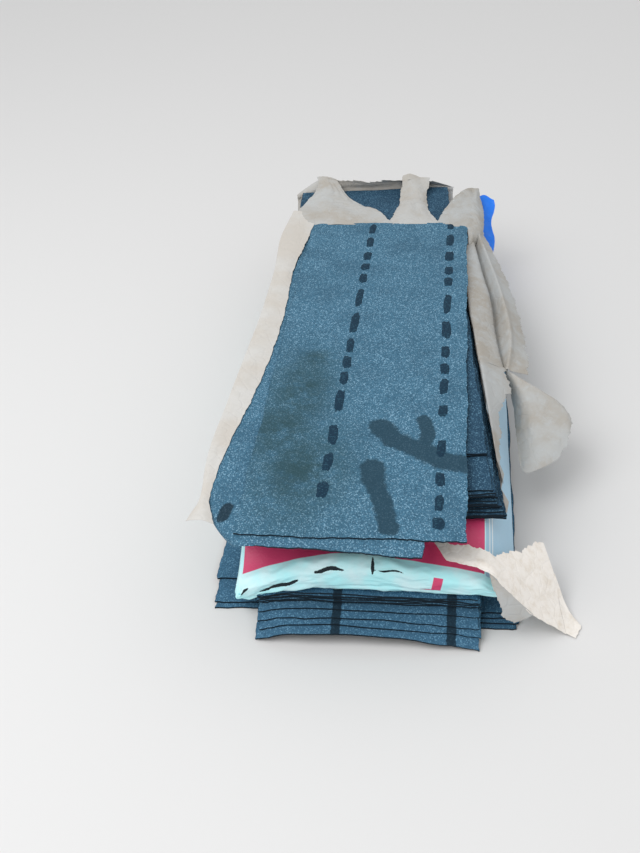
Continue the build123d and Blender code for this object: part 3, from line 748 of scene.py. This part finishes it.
# Three torn tongues folded forward from the back end over the opened top.
left_tongue = panel([
    [(-0.199, 0.692, 0.203), (-0.192, 0.650, 0.195), (-0.212, 0.590, 0.187), (-0.232, 0.520, 0.184),
     (-0.241, 0.462, 0.184)],
    [(-0.184, 0.686, 0.207), (-0.164, 0.642, 0.200), (-0.170, 0.590, 0.194), (-0.186, 0.530, 0.192),
     (-0.188, 0.474, 0.186)],
    [(-0.166, 0.682, 0.206), (-0.134, 0.630, 0.193), (-0.115, 0.585, 0.189), (-0.100, 0.530, 0.189),
     (-0.095, 0.474, 0.186)],
    [(-0.152, 0.678, 0.203), (-0.118, 0.612, 0.188), (-0.086, 0.578, 0.185), (-0.045, 0.546, 0.184),
     (-0.005, 0.476, 0.185)],
], 76, 48, 41, tight_folds, (0.0008, 0.0012), limp=0.75)
middle_tongue = panel([
    [(0.002, 0.690, 0.205), (0.001, 0.600, 0.184), (-0.008, 0.540, 0.183), (-0.020, 0.476, 0.184)],
    [(0.022, 0.688, 0.209), (0.020, 0.610, 0.191), (0.018, 0.545, 0.192), (0.010, 0.476, 0.186)],
    [(0.045, 0.684, 0.204), (0.042, 0.605, 0.195), (0.045, 0.545, 0.189), (0.050, 0.476, 0.186)],
    [(0.066, 0.676, 0.204), (0.061, 0.600, 0.185), (0.072, 0.535, 0.183), (0.098, 0.476, 0.184)],
], 70, 36, 51, tight_folds, (0.0012, 0.0012), limp=0.75)
right_corner = panel([
    [(0.090, 0.474, 0.184), (0.092, 0.510, 0.186), (0.107, 0.545, 0.193), (0.121, 0.575, 0.201),
     (0.138, 0.600, 0.206)],
    [(0.118, 0.466, 0.186), (0.124, 0.510, 0.194), (0.134, 0.550, 0.200), (0.144, 0.585, 0.206),
     (0.152, 0.606, 0.209)],
    [(0.150, 0.450, 0.184), (0.157, 0.500, 0.194), (0.160, 0.545, 0.201), (0.164, 0.585, 0.205),
     (0.166, 0.612, 0.208)],
    [(0.156, 0.405, 0.179), (0.179, 0.470, 0.183), (0.181, 0.520, 0.189), (0.179, 0.580, 0.197),
     (0.177, 0.612, 0.203)],
    [(0.158, 0.400, 0.158), (0.184, 0.470, 0.160), (0.186, 0.530, 0.163), (0.183, 0.585, 0.170),
     (0.178, 0.612, 0.178)],
    [(0.152, 0.400, 0.126), (0.150, 0.470, 0.1256), (0.146, 0.520, 0.1256), (0.142, 0.570, 0.130),
     (0.140, 0.596, 0.140)],
], 64, 48, 61, tight_folds, (0.001, 0.0), limp=0.9)
# The right side: a folded strip, its torn tip and the curl that hangs out from it. Each line of the
# strip has its distances out from the wall and up from the stack's top at the places of STRIP_AT.
STRIP_AT = (0.48, 0.40, 0.30, 0.20, 0.10, 0.0, -0.07, -0.135)
STRIP_LINES = (
    ((0.002,) * 8, (-0.0505,) * 8),
    ((-0.004,) * 8, (-0.025,) * 8),
    ((-0.010,) * 8, (-0.004,) * 8),
    ((0.002, 0.004, 0.008, 0.010, 0.014, 0.014, 0.012, 0.012),
     (0.006, 0.000, -0.004, -0.007, -0.008, -0.011, -0.013, -0.013)),
    ((0.013, 0.018, 0.024, 0.028, 0.033, 0.031, 0.030, 0.033),
     (0.007, -0.001, -0.007, -0.013, -0.017, -0.021, -0.023, -0.026)),
    ((0.017, 0.022, 0.029, 0.034, 0.040, 0.036, 0.035, 0.036),
     (-0.003, -0.014, -0.024, -0.031, -0.036, -0.038, -0.037, -0.032)),
    ((0.026, 0.032, 0.041, 0.050, 0.056, 0.057, 0.053, 0.040),
     (0.009, 0.002, -0.004, -0.007, -0.009, -0.012, -0.016, -0.025)),
    ((0.032, 0.038, 0.049, 0.059, 0.066, 0.067, 0.062, 0.050),
     (0.004, -0.006, -0.015, -0.019, -0.021, -0.023, -0.027, -0.031)),
    ((0.046, 0.050, 0.066, 0.080, 0.086, 0.087, 0.085, 0.079),
     (0.000, -0.018, -0.030, -0.036, -0.038, -0.040, -0.041, -0.040)),
)
strip = panel([[on_side(*place) for place in zip(STRIP_AT, out, rise)] for out, rise in STRIP_LINES],
              180, 70, 71, soft_folds, (0.0, 0.0022), limp=0.7)
tip = panel([
    [on_side(v, 0.002, -0.0505) for v in (-0.13, -0.20, -0.27, -0.34, -0.42)],
    [on_side(v, -0.010, -0.004 - 0.00002 * n) for n, v in enumerate((-0.13, -0.20, -0.27, -0.34, -0.42))],
    [on_side(-0.130, 0.012, -0.014), on_side(-0.200, 0.010, -0.014), on_side(-0.270, 0.002, -0.012),
     on_side(-0.340, -0.003, -0.011), on_side(-0.418, -0.009, -0.010)],
    [on_side(-0.128, 0.038, -0.028), on_side(-0.200, 0.036, -0.030), on_side(-0.258, 0.013, -0.024),
     on_side(-0.335, 0.005, -0.024), on_side(-0.412, -0.006, -0.020)],
], 90, 28, 81, soft_folds, (0.0, 0.0035), limp=0.5)
curl = panel([
    [on_side(-0.130, 0.036, -0.029), on_side(-0.150, 0.043, -0.055), on_side(-0.212, 0.048, -0.084),
     on_side(-0.266, 0.045, -0.090), on_side(-0.330, 0.041, -0.090)],
    [on_side(-0.147, 0.053, -0.031), on_side(-0.190, 0.064, -0.046), on_side(-0.245, 0.068, -0.063),
     on_side(-0.300, 0.062, -0.078), on_side(-0.350, 0.050, -0.089)],
    [on_side(-0.172, 0.083, -0.038), on_side(-0.215, 0.095, -0.050), on_side(-0.260, 0.098, -0.062),
     on_side(-0.300, 0.090, -0.074), on_side(-0.338, 0.080, -0.087)],
    [on_side(-0.193, 0.112, -0.050), on_side(-0.225, 0.127, -0.057), on_side(-0.256, 0.128, -0.064),
     on_side(-0.286, 0.118, -0.075), on_side(-0.321, 0.104, -0.085)],
    [on_side(-0.203, 0.126, -0.059), on_side(-0.228, 0.137, -0.064), on_side(-0.256, 0.136, -0.069),
     on_side(-0.286, 0.125, -0.077), on_side(-0.313, 0.111, -0.086)],
], 60, 56, 91, curl_folds, (0.001, 0.002), limp=0.8)
# The flap over the front right corner, lighter than the rest by painted light, its folded edge, and its end
# on the floor.
flap = panel([
    [(0.100, -0.452, 0.1266), (0.140, -0.466, 0.1270), (0.176, -0.474, 0.1266), (0.203, -0.468, 0.112),
     (0.238, -0.432, 0.090), (0.271, -0.392, 0.070)],
    [(0.112, -0.476, 0.1270), (0.146, -0.487, 0.1275), (0.181, -0.497, 0.1270), (0.210, -0.492, 0.106),
     (0.250, -0.468, 0.072), (0.288, -0.437, 0.046)],
    [(0.118, -0.490, 0.1270), (0.150, -0.499, 0.1280), (0.185, -0.511, 0.1275), (0.212, -0.512, 0.101),
     (0.254, -0.500, 0.056), (0.296, -0.480, 0.018)],
    [(0.124, -0.500, 0.1268), (0.152, -0.508, 0.1275), (0.187, -0.524, 0.1262), (0.212, -0.529, 0.098),
     (0.252, -0.527, 0.048), (0.303, -0.520, 0.0035)],
], 110, 48, 101, flap_folds, (0.0025, 0.0008), limp=0.8)
under_fold = panel([
    [(0.186, -0.5225, 0.1262), (0.206, -0.5280, 0.1055), (0.229, -0.5290, 0.077), (0.252, -0.5270, 0.049)],
    [(0.187, -0.5250, 0.1200), (0.203, -0.5315, 0.0940), (0.219, -0.5335, 0.065), (0.240, -0.5310, 0.043)],
    [(0.188, -0.5255, 0.1130), (0.199, -0.5325, 0.0820), (0.207, -0.5350, 0.055), (0.224, -0.5330, 0.036)],
], 50, 24, 111, ((0.045, 0.0012, 75), (0.021, 0.0006, 100)), (0.0, 0.002), limp=0.8)
foot_end = panel([
    [(0.288, -0.437, 0.046), (0.294, -0.470, 0.022), (0.300, -0.500, 0.008), (0.303, -0.520, 0.0035)],
    [(0.296, -0.452, 0.030), (0.303, -0.478, 0.012), (0.310, -0.502, 0.004), (0.311, -0.524, 0.0025)],
    [(0.303, -0.468, 0.014), (0.316, -0.488, 0.004), (0.325, -0.503, 0.0020), (0.318, -0.528, 0.0018)],
], 40, 24, 121, ((0.03, 0.0008, 75), (0.015, 0.0004, 100)), (0.0, 0.0015), limp=0.6)

paper, tree = new_material("kraft_paper")
shader = tree.nodes["Principled BSDF"]
place = add(tree, "ShaderNodeTexCoord").outputs["Object"]
worn = add(tree, "ShaderNodeTexNoise", {"Vector": place, "Scale": 9.0, "Detail": 6.0, "Roughness": 0.6})
mottle = add(tree, "ShaderNodeTexNoise", {"Vector": place, "Scale": 60.0, "Detail": 8.0, "Roughness": 0.7})
fibres = add(tree, "ShaderNodeTexNoise", {"Vector": place, "Scale": 420.0, "Detail": 4.0, "Distortion": 0.8})
creases = add(tree, "ShaderNodeTexVoronoi", {"Vector": place, "Scale": 42.0}, feature="DISTANCE_TO_EDGE")
colour = blend(tree, ramp(tree, worn.outputs["Fac"], 0.35, 0.62), PAPER_TAN, PAPER_PALE)
rubbed = calculate(tree, "MULTIPLY", ramp(tree, mottle.outputs["Fac"], 0.45, 0.75), 0.5)
colour = blend(tree, rubbed, colour, PAPER_WORN)
fibrous = calculate(tree, "MULTIPLY", ramp(tree, fibres.outputs["Fac"], 0.55, 0.8), 0.25)
colour = blend(tree, fibrous, colour, PAPER_TAN)
# Painted light: each panel's share, an attribute, lightens its paper towards the lit colours.
fresh = add(tree, "ShaderNodeAttribute", attribute_name="fresh").outputs["Fac"]
lit_paper = blend(tree, ramp(tree, mottle.outputs["Fac"], 0.4, 0.8), PAPER_LIT, PAPER_LIT_TAN)
colour = blend(tree, fresh, colour, lit_paper)
creased = calculate(tree, "MULTIPLY", ramp(tree, creases.outputs["Distance"], 0.0, 0.10), 0.5)
height = calculate(tree, "ADD", creased, mottle.outputs["Fac"])
bump = add(tree, "ShaderNodeBump", {"Height": height, "Strength": 0.5, "Distance": 0.0016})
tree.links.new(colour, shader.inputs["Base Color"])
tree.links.new(bump.outputs["Normal"], shader.inputs["Normal"])
shader.inputs["Roughness"].default_value = 0.8
shader.inputs["Specular IOR Level"].default_value = 0.3
# Each panel with its share of painted light, from 0 to 1.
panels = ((under, 0.2), (left, 0.4), (stand, 0.15), (left_tongue, 0.1), (middle_tongue, 0.15),
          (right_corner, 0.0), (strip, 0.0), (tip, 0.0), (curl, 0.05), (flap, 1.0), (under_fold, 0.1),
          (foot_end, 0.9))
shells = [thick_sheet(grid, PAPER)[:2] for grid, _ in panels]
painted_light_shares = np.concatenate([np.full(len(shell[0]), lightness) for shell, (_, lightness) in zip(shells, panels)])
wrapper = make_piece("torn_kraft_wrapper", shells, paper, ["kraft_wrapper"], crease=40.0,
                     values={"fresh": painted_light_shares})

# The camera stands where the perspective fit puts it, measured from the top shingle's front left
# corner, over a pale floor that runs far past the object. An even grey world and one broad lamp
# light it softly.
FOCAL_PIXELS, FRAME_HEIGHT_PIXELS, SENSOR = 1043.06, 853, 36.0
AZIMUTH, ELEVATION, ROLL = math.radians(9.009), math.radians(36.758), math.radians(-4.317)
TOP_CORNER, FROM_CORNER = Vector((-0.185, -0.52, 0.1846)), Vector((0.3129, -1.0878, 1.0203))
LAMP_PLACE = (-1.5, -1.5, 3.0)
LAMP_WATTS, LAMP_SIZE, FLOOR_HALF = 60.0, 2.5, 8.0
WORLD_GREY, FLOOR_GREY = (0.8, 0.8, 0.8, 1.0), (0.72, 0.72, 0.72, 1.0)
camera_data = bpy.data.cameras.new("camera")
camera_data.sensor_width = SENSOR
camera_data.lens = FOCAL_PIXELS / FRAME_HEIGHT_PIXELS * SENSOR
camera_data.clip_end = 50.0
camera = bpy.data.objects.new("camera", camera_data)
scene.collection.objects.link(camera)
level_part = math.cos(ELEVATION)
forward = Vector((-math.sin(AZIMUTH) * level_part, math.cos(AZIMUTH) * level_part, -math.sin(ELEVATION)))
right = Vector((math.cos(AZIMUTH), math.sin(AZIMUTH), 0.0))
up = right.cross(forward)
right, up = right * math.cos(ROLL) + up * math.sin(ROLL), up * math.cos(ROLL) - right * math.sin(ROLL)
turn = Matrix((right, up, -forward)).transposed()
camera.matrix_world = Matrix.Translation(TOP_CORNER + FROM_CORNER) @ turn.to_4x4()
scene.camera = camera

world = bpy.data.worlds.new("studio")
world.use_nodes = True
scene.world = world
backdrop = world.node_tree.nodes["Background"]
backdrop.inputs["Color"].default_value = WORLD_GREY
backdrop.inputs["Strength"].default_value = 1.0

floor_mesh = bpy.data.meshes.new("floor")
floor_corners = [(x * FLOOR_HALF, y * FLOOR_HALF, 0.0) for x, y in ((-1, -1), (1, -1), (1, 1), (-1, 1))]
floor_mesh.from_pydata(floor_corners, [], [(0, 1, 2, 3)])
floor = bpy.data.objects.new("floor", floor_mesh)
scene.collection.objects.link(floor)
floor_material, tree = new_material("pale_floor")
shader = tree.nodes["Principled BSDF"]
shader.inputs["Base Color"].default_value = FLOOR_GREY
shader.inputs["Roughness"].default_value = 0.9
floor_mesh.materials.append(floor_material)

lamp_data = bpy.data.lights.new("key", "AREA")
lamp_data.energy = LAMP_WATTS
lamp_data.size = LAMP_SIZE
lamp = bpy.data.objects.new("key", lamp_data)
scene.collection.objects.link(lamp)
towards = Vector(LAMP_PLACE).to_track_quat("Z", "Y").to_matrix().to_4x4()
lamp.matrix_world = Matrix.Translation(LAMP_PLACE) @ towards
scene.view_settings.view_transform = "Standard"
